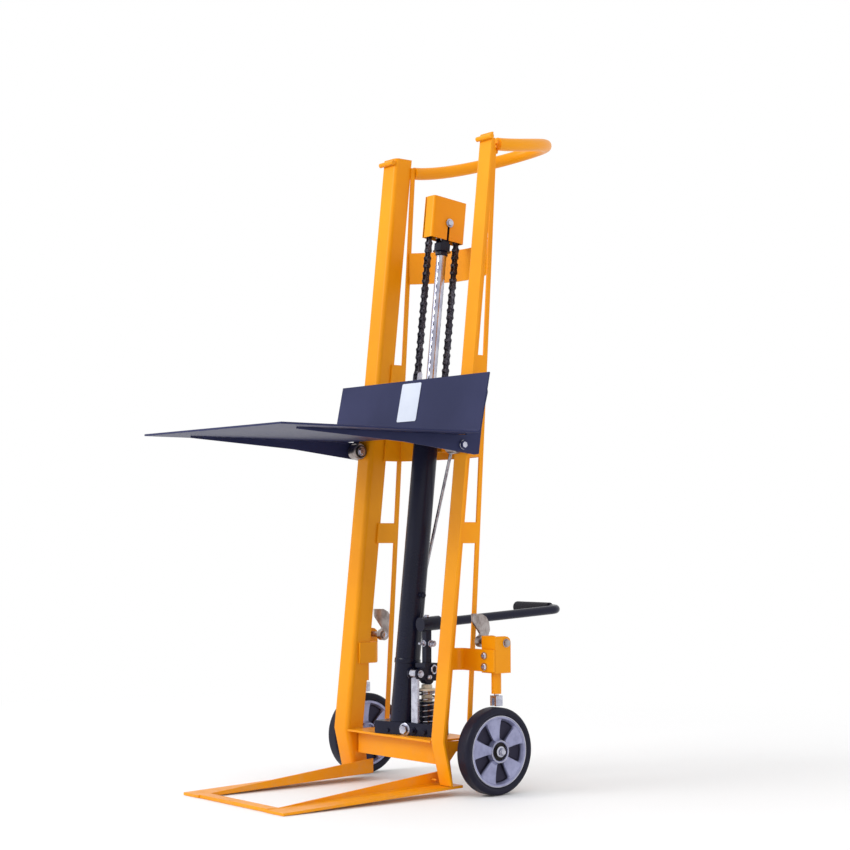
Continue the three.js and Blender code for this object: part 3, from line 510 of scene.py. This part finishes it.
# ---- CAD pieces with eased edges ----------------------------------------------------------------------
EASED = {
    "mast_post_right": 0.7, "mast_post_left": 0.7, "rear_strut_right": 0.6, "rear_strut_left": 0.6,
    "upper_strap": 0.6, "lower_strap": 0.6, "base_shelf": 0.6, "cross_plate": 0.6, "axle_bracket_right": 0.6,
    "axle_bracket_left": 0.6, "leg_right": 0.7, "leg_left": 0.7, "front_bar": 0.8, "brake_strap_right": 0.8,
    "brake_strap_left": 0.8, "brake_housing_right": 0.8, "brake_housing_left": 0.8, "chain_cover_shell": 0.5,
    "chain_cover_back": 0.4, "platform": 0.8, "side_arm_right": 0.8, "side_arm_left": 0.8, "chain_hook": 0.8,
    "pump_base": 1.4, "cylinder": 0.8, "gland": 0.8, "pump_barrel": 0.5, "rod_clevis": 0.9, "pump_lever": 1.2,
    "brake_shoe_right": 0.7, "brake_shoe_left": 0.7, "brake_lever_right": 0.9, "brake_lever_left": 0.9,
    "pump_pivot_bracket": 0.6, "axle": 0.6, "pulley_pin": 0.6, "roller_low_right": 0.5, "roller_low_left": 0.5,
    "roller_high_right": 0.5, "roller_high_left": 0.5, "pedal_tube": 0.5,
}
for node, width in EASED.items():
    finish = FINISHES[slots[node]]
    if node.startswith(("brake_lever", "roller")):
        finish = drawn
    eased(node, finish, width)
for node, shown in frame["nodes"].items():
    shown.data.materials.clear()
    shown.data.materials.append(FINISHES[slots[node]])


# ---- Handle -------------------------------------------------------------------------------------------
def handle_path(n):
    """Half an oval: x follows a cosine, y a sine, and z the 1.4th power of that sine plus a little of x."""
    t = np.linspace(0, np.pi, n)
    x, lift = -HANDLE_HALF * np.cos(t), np.clip(np.sin(t), 0, 1)
    z = HANDLE_Z + HANDLE_RISE * lift**1.4 + HANDLE_TILT * x
    return np.stack([x, HANDLE_Y + HANDLE_REACH * lift, z], -1)


piece("handle_tube", [carry(handle_path(121), circle(15.55, 36))], orange, "frame", ("handle_bow",))


# ---- Wheels -------------------------------------------------------------------------------------------
def tyre(side):
    """Rounded tread and shoulders: a closed outline of arcs turned round the axle."""
    w, out = 20.0, WHEEL_R
    right = [(82.3, 15.5), (84, 17.6), (86.5, 18.2), (88, 19.3), (90, 19.9), (92, 19.6)]
    shoulder = [(out - 8 + 8 * math.sin(a), w - 8.4 + 8 * math.cos(a)) for a in np.linspace(0.15, 1.45, 9)]
    crown = [(out - 0.02, 6.0), (out, 0.0)]
    half = right + shoulder + crown
    profile = half + [(r, -x) for r, x in half[-2::-1]]
    return turned(profile, (side * WHEEL_X, 0, WHEEL_R), (1, 0, 0), 144, closed=True)


def hub(side, spokes=5):
    """Cast disc: web depth is a function of radius and angle, high on broad spokes and low between them."""
    turn = np.linspace(0, 2 * np.pi, 240, endpoint=False)
    phase = (turn * spokes / (2 * np.pi) + 0.1) % 1.0
    high = np.clip((0.27 - np.abs(phase - 0.5)) / 0.05 + 0.5, 0, 1)  # 1 on a spoke, 0 in a pocket
    face = [  # radius, depth in a pocket, depth on a spoke
        (10.4, 13.0, 13.0), (21.5, 13.0, 13.0), (21.8, 20.0, 20.0), (24.2, 20.3, 20.3), (26.0, 19.4, 19.4),
        (27.4, 13.0, 17.0), (31.0, 4.0, 13.6), (44.0, 3.6, 12.4), (60.0, 4.0, 12.8), (69.5, 5.0, 14.0),
        (74.0, 15.0, 15.4), (75.5, 17.2, 17.2), (80.5, 17.4, 17.4), (82.0, 16.0, 16.0),
    ]
    rings = []
    for sign, rows in ((1, face), (-1, face[::-1])):
        for r, low, up in rows:
            depth = (low + (up - low) * high) * sign
            rings.append(np.stack([side * WHEEL_X + depth, r * np.cos(turn), WHEEL_R + r * np.sin(turn)], -1))
    return skin(np.moveaxis(np.array(rings), 0, 1), loop=True)


def bearing(side):
    """Sealed bearing: outer ring, sunk seal and inner ring turned round the axle."""
    profile = [(10.2, 10), (10.4, 15.2), (13.4, 15.2), (13.8, 14.2), (18.2, 14.2), (18.6, 15.2)]
    profile += [(21.2, 15.2), (21.4, 10)]
    return turned(profile, (side * WHEEL_X, 0, WHEEL_R), (side, 0, 0), 64, closed=True)


def rim_line(side):
    """The turned lip of the rim: a thin ring of round section."""
    return turned(circle(1.5, 10) + (80.6, 16.8), (side * WHEEL_X, 0, WHEEL_R), (side, 0, 0), 128, closed=True)


for word, side in SIDES.items():
    body = "wheel_" + word
    piece("tyre_" + word, [tyre(side)], tyre_rubber, body, ("wheel_tyre_" + word,))
    piece("hub_" + word, [hub(side)], alloy, body, ("wheel_hub_" + word,), angle=24)
    inner = turned(circle(1.1, 10) + (24.9, 20.0), (side * WHEEL_X, 0, WHEEL_R), (side, 0, 0), 96, closed=True)
    piece("rim_lip_" + word, [rim_line(side), inner], chrome, body)
    piece("bearing_" + word, [bearing(side)], seal, body)
    end = (side * 272.3, 0, WHEEL_R)
    stub = turned([(0, 0), (5.6, 0), (6.6, 1), (6.6, 10.4), (5.6, 11.4), (0, 11.4)], end, (side, 0, 0), 32)
    piece("axle_fastener_" + word, hex_head(end, (side, 0, 0), 9.4, 8.2) + [stub], zinc, "frame",
          ("axle_nut_" + word,))


# ---- Chain --------------------------------------------------------------------------------------------
def side_link(p, q, out, x0, x1, r, waist):
    """A figure-of-eight plate from pin to pin: two end arcs and a waist, carried across its thickness."""
    along = unit(q - p)
    length = np.linalg.norm(q - p)
    a = np.radians(np.linspace(52, 308, 9))
    near = np.stack([r * np.cos(a), r * np.sin(a)], -1)
    far = np.stack([length - near[:, 0], -near[:, 1]], -1)
    outline = np.concatenate([near, [(length / 2, -waist)], far, [(length / 2, waist)]])
    flat = p + outline[:, :1] * along + outline[:, 1:] * out
    return skin(np.array([flat + (x0, 0, 0), flat + (x1, 0, 0)]))


def chain(points):
    """A roller chain through its pin centres: broad and narrow links by turns, with a roller and a pin at each."""
    parts = []
    for i, (p, q) in enumerate(zip(points[:-1], points[1:])):
        out = np.cross((1, 0, 0), unit(q - p))
        for s in (-1, 1):
            x0, x1 = ((3.5, 5.1), (5.5, 7.1))[i % 2]
            parts.append(side_link(p, q, out, s * x0, s * x1, 6.6 if i % 2 else 6.2, 4.6))
    for p in points:
        parts.append(turned([(0, -3.2), (5.2, -3.2), (5.2, 3.2), (0, 3.2)], p, (1, 0, 0), 14))
        parts.append(turned([(0, -8), (1.9, -8), (2.4, -7.5), (2.4, 7.5), (1.9, 8), (0, 8)], p, (1, 0, 0), 10))
    return parts


LIFT_LINKS, FIXED_LINKS = 21, 26
k = np.arange(LIFT_LINKS + 1)
lift_pins = on_mast(np.stack([k * 0, k * 0 + AXIS_W - PULLEY_R, PULLEY_S - k * PITCH], -1))
k = np.arange(FIXED_LINKS + 1)
fixed_pins = on_mast(np.stack([k * 0, k * 0 + AXIS_W + PULLEY_R, PULLEY_S - k * PITCH], -1))
a = np.linspace(0, np.pi, 8)
wrap_pins = on_mast(np.stack([a * 0, AXIS_W + PULLEY_R * np.cos(a), PULLEY_S + PULLEY_R * np.sin(a)], -1))


def stretch(obj, first, second, top, low):
    """Bakes the chain's placement into its mesh."""
    over = (low - top) * 0.16
    tuple(world(top - over))
    tuple(world(low + over))
    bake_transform(obj)


run = piece("lift_chain", chain(lift_pins), chain_steel, None, ("chain_lift_run",))
stretch(run, "ram", "carriage", lift_pins[0], lift_pins[-1])
run = piece("fixed_chain", chain(fixed_pins), chain_steel, None, ("chain_fixed_run",))
stretch(run, "ram", "frame", fixed_pins[0], fixed_pins[-1])
piece("chain_round_pulley", chain(wrap_pins), chain_steel, "ram", ("chain_over_pulley",))


def chain_end(pin, foot, w, body, name):
    """Fork that holds the last pin: two rounded cheeks on a block, with the pin across them."""
    s = np.array([0, w, pin])
    base = on_mast([0, w, foot])
    up = unit(on_mast([0, w, pin]) - base)
    back = np.cross((1, 0, 0), up)
    length = pin - foot
    parts = []
    for x in (-10.4, 8.2):
        a = np.radians(np.linspace(0, 180, 9))
        tip = np.stack([6.5 * np.cos(a), length + 14 + 6.5 * np.sin(a)], -1)
        outline = np.concatenate([tip, [(-6.5, 8), (6.5, 8)]])
        flat = base + outline[:, :1] * back + outline[:, 1:] * up
        parts.append(skin(np.array([flat + (x, 0, 0), flat + (x + 2.2, 0, 0)])))
    ring = base + rounded(20.6, 13, 2)[:, :1] * np.array([1.0, 0, 0]) + rounded(20.6, 13, 2)[:, 1:] * back
    parts.append(skin(np.array([ring + up * 0.4, ring + up * 9.5])))
    parts.append(rod(on_mast(s) - (11.4, 0, 0), on_mast(s) + (11.4, 0, 0), 2.8, 16))
    return piece(name, parts, zinc, body, angle=30)


chain_end(PULLEY_S - LIFT_LINKS * PITCH, 815.3, AXIS_W - PULLEY_R, "carriage", "lift_chain_fork")
chain_end(PULLEY_S - FIXED_LINKS * PITCH, 732.3, AXIS_W + PULLEY_R, "frame", "fixed_chain_fork")


def sprocket(teeth=14):
    """Toothed wheel: its radius dips at each roller along a raised cosine, and a boss stands on both sides."""
    turn = np.linspace(0, 2 * np.pi, teeth * 14, endpoint=False)
    tip = 36.6 + 9.0 * np.clip(0.5 - 0.5 * np.cos(turn * teeth), 0, 1) ** 0.8
    centre = on_mast([0, AXIS_W, PULLEY_S])
    up = unit(on_mast([0, AXIS_W, PULLEY_S + 1]) - centre)
    back = np.cross((1, 0, 0), up)
    ray = np.cos(turn)[:, None] * back + np.sin(turn)[:, None] * up
    rows = []
    for share, flat, x in ((0, 7.4, -9), (0, 16, -9), (0, 16.4, -2.9), (0.86, 30, -2.9), (1, 0, -2.0), (1, 0, 2.0),
                           (0.86, 30, 2.9), (0, 16.4, 2.9), (0, 16, 9), (0, 7.4, 9)):
        r = np.where(share == 1, tip, np.where(share == 0, flat, tip - 2.6))
        rows.append(centre + ray * np.broadcast_to(r, turn.shape)[:, None] + (x, 0, 0))
    return skin(np.moveaxis(np.array(rows), 0, 1), loop=True)


piece("sprocket", [sprocket()], drawn, "pulley", ("chain_pulley",), angle=28)


# ---- Ram ----------------------------------------------------------------------------------------------
low, high = on_mast([0, AXIS_W, 404]), on_mast([0, AXIS_W, 1183.7])
piece("ram_rod", [rod(low, high, 12.5, 64, 1.0)], chrome, "ram", ("piston_rod",))
up = unit(high - low)
collar = on_mast([0, AXIS_W, 790.5])
piece("wiper_seal", [turned([(12.6, 0), (19, 0), (19.5, 1.2), (15, 4.6), (12.7, 5.6)], collar, up, 48, closed=True)],
      seal, "frame")
piece("ram_locknut", hex_head(on_mast([0, AXIS_W, 1184]), -up, 17, 12), black, "ram")
for name, s, r in (("cylinder_ring_top", 742, 31.4), ("cylinder_ring_low", 176, 31.6)):
    piece(name, [turned([(29.6, -6), (r - 0.6, -6), (r, -5), (r, 5), (r - 0.6, 6), (29.6, 6)],
                        on_mast([0, AXIS_W, s]), up, 64, closed=True)], black, "frame")
plug = on_mast([38, AXIS_W, 335])
piece("filler_plug", hex_head(plug - (0.5, 0, 0), (1, 0, 0), 6.4, 5.5), black, "frame")


# ---- Foot pump ----------------------------------------------------------------------------------------
PUMP = np.array([62.0, -48.0])


def coil(low, high, r, wire, turns):
    """A helix with closed ends: height is a smoothed ramp of the turn count, so that the end turns lie flat."""
    t = np.linspace(0, 1, int(turns * 40))
    n = t * turns
    rise = np.clip((n - 0.9) / (turns - 1.8), 0, 1)
    z = low + wire + (high - low - 2 * wire) * rise
    z += (np.clip(n, 0, 0.9) - np.clip(turns - n, 0, 0.9)) * 0.55 * wire
    a = 2 * np.pi * n + 0.6
    return np.stack([PUMP[0] + r * np.cos(a), PUMP[1] + r * np.sin(a), z], -1)


spring = piece("return_spring", [carry(coil(154.5, 229.0, 21.4, 2.5, 7.0), circle(2.5, 12))], spring_wire, "frame",
               ("pump_spring",))
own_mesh(spring)
profile = [(0, 176), (12.4, 176), (13, 176.6), (13, 226), (15, 228.6), (24.4, 229), (25, 229.6), (25, 232.4)]
profile += [(24.4, 233), (15, 233.4), (13, 235), (13, 241), (11.6, 243), (0, 243)]
cap = turned(profile, (*PUMP, 0), (0, 0, 1), 64)
piece("plunger_cap", [cap], cream, "plunger", ("pump_plunger",))
piece("barrel_lip", [turned([(13.6, 199), (19.4, 199), (19.8, 199.6), (19.8, 202.6), (13.6, 202.6)], (*PUMP, 0),
                            (0, 0, 1), 48, closed=True)], black, "frame")


def pedal_z(y):
    """Height of the pedal tube's centre line: a straight line in y."""
    return 387.6 + 0.0554 * (y + 12)


x = PUMP[0]
parts = hex_head((x + 18.2, -50, 340), (1, 0, 0), 6.6, 6.4)
parts += hex_head((x + 20, -83, 270), (1, 0, 0), 6.6, 6) + hex_head((x, -56.2, 340), (0, -1, 0), 6.2, 6.5)
parts += hex_head((x, -48, pedal_z(-48) + 16.2), (0, 0, 1), 6.4, 5.5)
parts += [rod((x + 18.5, -47, 340), (x + 31, -47, 340), 3.4, 16), rod((x, -60, 340), (x, -72, 340), 3.2, 16)]
parts += hex_head((x + 24.5, -47, 340), (1, 0, 0), 5.6, 5)
piece("pump_head_bolts", parts, zinc, "pedal", angle=30)
ring = turned(circle(2.1, 12) + (9.5, 0), (x + 20.4, -42, 279), (1, 0.25, 0), 40, closed=True)
acorn = turned([(0, 0), (6, 0), (6, 4), (5, 8), (2.8, 10.3), (0, 10.8)], (x + 18.2, -58, 262), (1, 0, 0), 24)
piece("pump_head_ring", [ring, acorn], zinc, "pedal")

y = 389.0
z = pedal_z(y)
turns = np.linspace(0, 1, 121)
rib = 14.9 - 0.35 * (np.sin(turns * np.pi * 26) > 0.55)
profile = [(11.4, 20.0), (13.8, 20.0), (14.6, 19.2)] + [(r, 18.6 - 121.4 * t) for r, t in zip(rib, turns)]
profile += [(14.4, -105.0), (12.0, -106.0), (0.0, -106.0), (0.0, -101.2), (11.3, -101.2)]
piece("pedal_sleeve", [turned(profile, (0, y, z), (1, 0, 0), 56, closed=True)], grip_rubber, "pedal",
      ("pedal_grip",))

BASE_TURN = 0.242


def on_base(x, y, z):
    """A point of the pump block, which is turned a little when seen from above."""
    c, s = math.cos(BASE_TURN), math.sin(BASE_TURN)
    return np.array([x * c - y * s, -76 + x * s + y * c, z])


front = on_base(0, -1, 0) - on_base(0, 0, 0)
right = on_base(1, 0, 0) - on_base(0, 0, 0)
piece("block_plug", hex_head(on_base(32, -28.1, 138), front, 11.6, 9.4), zinc, "frame", ("base_plug",))
parts = hex_head(on_base(-78, 4, 139), -right, 7, 6) + hex_head(on_base(90, -28.1, 135), front, 6, 5)
for across, y0, y1, z, r in ((58, -30, -38, 137, 5.4), (-20, -28, -32, 133, 5)):
    parts.append(rod(on_base(across, y0, z), on_base(across, y1, z), r, 24))
piece("block_fittings", parts, black, "frame", angle=30)


# ---- Brakes -------------------------------------------------------------------------------------------
for word, side in SIDES.items():
    parts = [button_head((side * 246.5, -25.4, h), (0, -1, 0), 8.8) for h in (318.5, 293.5)]
    piece("brake_bolts_" + word, parts, zinc, "frame", angle=30)
    profile = [(0, 0), (9.5, 0), (9.3, 1.8), (7.4, 4.3), (4.2, 5.8), (0, 6.2)]
    dome = turned(profile, (side * 184, *BRAKE_PIN), (-side, 0, 0), 40)
    head = hex_head((side * 278.4, *BRAKE_PIN), (side, 0, 0), 7.4, 6.0)
    piece("brake_pin_ends_" + word, [dome] + head, zinc, "brake_lever_" + word, angle=30)


# ---- Chain cover and mast fittings ----------------------------------------------------------------------
parts = hex_head(on_mast([22.4, AXIS_W, PULLEY_S]), (1, 0, 0), 8.2, 6.4)
parts += hex_head(on_mast([-16.8, AXIS_W, PULLEY_S]), (-1, 0, 0), 8.2, 6)
piece("pulley_bolt", parts, zinc, "ram", angle=30)

low, bend, high = np.array([-49.0, -20, 128]), np.array([-49.0, 23, 455]), np.array([134.0, 23, 985])
d = unit(high - bend)
before, after = bend + 0.06 * (low - bend), bend + 0.035 * (high - bend)
curve = [(1 - t) ** 2 * before + 2 * t * (1 - t) * bend + t**2 * after for t in np.linspace(0, 1, 13)]
knob = turned([(3.9, -16), (8.4, -15), (9.2, -13.5)] + [(9.2 - 0.5 * (i % 2), -13 + i * 1.25) for i in range(20)]
              + [(9.0, 12.6), (7.6, 14), (0, 14), (0, -16)], high, d, 48, closed=True)
bar = carry([low, *curve, high], circle(4, 32), (0, 1, 0))
piece("release_bar", [bar], spring_wire, "release", ("release_rod",))
piece("release_knob", [knob], black, "release")
profile = [(4.4, -12), (6.6, -12), (7, -11.5), (7, 11.5), (6.6, 12), (4.4, 12)]
sleeve = turned(profile, low + 12 * unit(bend - low), bend - low, 32, closed=True)
piece("release_foot", [sleeve], zinc, "release")


# ---- Rollers of the carriage ----------------------------------------------------------------------------
for level, (w, s) in ROLLER_PIN.items():
    for word, side in SIDES.items():
        centre = on_mast([side * 174.0, w, s])
        ring = turned([(7.2, -0.6), (11, -0.6), (11.4, -1.4), (15.4, -1.4), (16, -0.4), (16, 0.6), (7.2, 0.6)], centre,
                      (side, 0, 0), 48, closed=True)
        piece(f"roller_seal_{level}_{word}", [ring], seal, f"roller_{level}_{word}")
        parts = hex_head(centre - (side * 2.0, 0, 0), (-side, 0, 0), 9.0, 5.0)
        piece(f"roller_clip_{level}_{word}", parts, zinc, "carriage", angle=30)


w, s = ROLLER_PIN["low"]
for word, side in SIDES.items():
    washer = rod(on_mast([side * 221.1, w, s]), on_mast([side * 223.4, w, s]), 10.5, 32)
    head = hex_head(on_mast([side * 223.4, w, s]), (side, 0, 0), 8.4, 6.6)
    piece("roller_bolt_" + word, [washer] + head, zinc, "carriage", angle=30)


# ---- Label ----------------------------------------------------------------------------------------------
def label_plate(width, height, r, thick):
    """A rounded rectangle laid on the back plate's front face."""
    back = unit(np.array([0, -42.5 + 71, 972.0 - 834]))
    n = np.array([0, -back[2], back[1]])
    mid = np.array([3.5, -42.5, 972.0]) - back * 56 + n * 0.5
    p = rounded(width, height, r, 8)
    flat = mid + p[:, :1] * np.array([1.0, 0, 0]) + p[:, 1:] * back
    return skin(np.array([flat, flat + n * thick]))


piece("label_sheet", [label_plate(74, 96, 4, 0.6)], label_white, "carriage", ("plain_label",))


# ---- Welds ----------------------------------------------------------------------------------------------
def post_y(z):
    """Front face of a post at a height: a straight line that leans rearwards."""
    return -121 + 0.109 * (z - 125)


def strut_y(z):
    """Front edge of a strut at a height."""
    return -12.7 + 0.061 * z


beads = []
for side in SIDES.values():
    for z0, z1 in ((577, 627), (782, 862), (976, 1026)):
        x = side * 161.0
        for z in (z0 + 6, z1 - 24):
            beads.append(weld([(x - side * 0.6, post_y(q) + 50.4, q) for q in (z, z + 18)], 2.2, (1, 0, 0)))
    for z in (1242.0, 1290.0):
        beads.append(weld([(side * 154.6, strut_y(q) + 11.6, q) for q in (z, z + 16)], 2.2, (1, 0, 0)))
    beads.append(weld([(side * 161.2, -96, 124.6), (side * 161.2, -70, 124.6)], 2.4))
    foot = 1521.0 if side > 0 else 1513.0
    beads.append(weld([(side * 157, 96.5, foot), (side * 157, 98.5, 1531.0)], 2.6, (1, 0, 0)))
    a = np.linspace(0.3, 2.9, 24)
    mid = np.array([side * HANDLE_HALF, 92.6, HANDLE_Z + side * 9.8])
    ring = np.stack([a * 0 - side * 3.6, 3 + 10.5 * np.cos(a), 11.5 * np.sin(a) - 10], -1)
    beads.append(weld(mid + ring, 2.4, (1, 0, 0)))
    beads.append(weld([(side * 160.8, -100, 33.0), (side * 143.2, -100, 33.0)], 2.4))
    peg = post_y(1545) - 5.2
    beads.append(weld([(side * 172, peg + 5.0, 1541), (side * 206, peg + 5.0, 1541)], 1.8))
piece("frame_welds", beads, orange, "frame", angle=50)
beads = []
for side in SIDES.values():
    for y0 in (-500, -400, -300, -200, -110):
        beads.append(weld([(side * 215.4, y0, 828.6), (side * 215.4, y0 + 34, 828.6)], 2.2))
    beads.append(weld([(side * 215.4, -58, 846), (side * 215.4, -50.6, 884)], 2.2, (1, 0, 0)))
piece("carriage_welds", beads, slate, "carriage", angle=50)


# ---- Room, light and camera -------------------------------------------------------------------------------
def paper():
    """Pale matt paper that grows even and bright away from the object."""
    p = Paint("paper")
    far = p.node("ShaderNodeVectorMath", {"operation": "LENGTH"}, {0: p.place}).outputs["Value"]
    fibre = p.noise(90.0, 3.0)
    p.feed(p.shader.inputs["Base Color"], p.blend(fibre, (0.88, 0.88, 0.885), (0.86, 0.86, 0.865)))
    p.shader.inputs["Roughness"].default_value = 0.8
    glow = p.node("ShaderNodeEmission", None, {"Color": (1, 1, 1, 1), "Strength": 1.0})
    both = p.node("ShaderNodeMixShader", None, {0: Level(p, far).step(0.9, 2.6)})
    p.tree.links.new(p.shader.outputs[0], both.inputs[1])
    p.tree.links.new(glow.outputs[0], both.inputs[2])
    out = p.tree.nodes["Material Output"]
    p.tree.links.new(both.outputs[0], out.inputs["Surface"])
    return p.material


radii = np.array([0.02, 0.4, 1.0, 2.0, 4.0, 9.0, 30.0])
turn = np.linspace(0, 2 * np.pi, 96, endpoint=False)
disc = np.stack([np.outer(radii, np.cos(turn)), np.outer(radii, np.sin(turn)), np.full((7, 96), -0.0006)], -1)
points, faces = skin(disc)
floor_mesh = bpy.data.meshes.new("floor")
floor_mesh.from_pydata(points.tolist(), [], [f for f in faces if len(f) == 4] + [list(range(96))])
floor = bpy.data.objects.new("floor", floor_mesh)
floor_mesh.materials.append(paper())
bpy.context.scene.collection.objects.link(floor)

sky = bpy.data.worlds.new("Studio")
bpy.context.scene.world = sky
sky.use_nodes = True
sky.node_tree.nodes["Background"].inputs["Color"].default_value = (1, 1, 1, 1)
sky.node_tree.nodes["Background"].inputs["Strength"].default_value = 1.0
bpy.context.scene.view_settings.view_transform = "Standard"


def lamp(name, place, aim, size, power):
    """A square soft light that faces a point."""
    data = bpy.data.lights.new(name, "AREA")
    data.shape, data.size, data.energy = "SQUARE", size, power
    obj = bpy.data.objects.new(name, data)
    obj.location = place
    obj.rotation_mode = "QUATERNION"
    obj.rotation_quaternion = (Vector(aim) - Vector(place)).to_track_quat("-Z", "Y")
    bpy.context.scene.collection.objects.link(obj)


lamp("key", (-1.2, -4.0, 3.2), (0, 0, 0.8), 2.4, 125)
lamp("fill", (4.6, 1.4, 2.2), (0, 0, 0.8), 2.6, 8)

eye = np.array([3.35574, -2.69445, 0.58929]) + (0, 0.107, 0)
turn, rise, roll = math.radians(51.262), math.radians(3.665), math.radians(-0.109)
ahead = np.array([-math.sin(turn) * math.cos(rise), math.cos(turn) * math.cos(rise), math.sin(rise)])
level = np.array([math.cos(turn), math.sin(turn), 0])
above = np.cross(level, ahead)
right = level * math.cos(roll) + above * math.sin(roll)
above = above * math.cos(roll) - level * math.sin(roll)
lens = bpy.data.cameras.new("camera")
lens.sensor_width = 36.0
lens.lens = 1766.5 / 850 * 36.0
camera = bpy.data.objects.new("camera", lens)
placed = np.vstack([np.column_stack([right, above, -ahead, eye]), [0, 0, 0, 1]])
camera.matrix_world = Matrix([[*row] for row in placed])
bpy.context.scene.collection.objects.link(camera)
bpy.context.scene.camera = camera
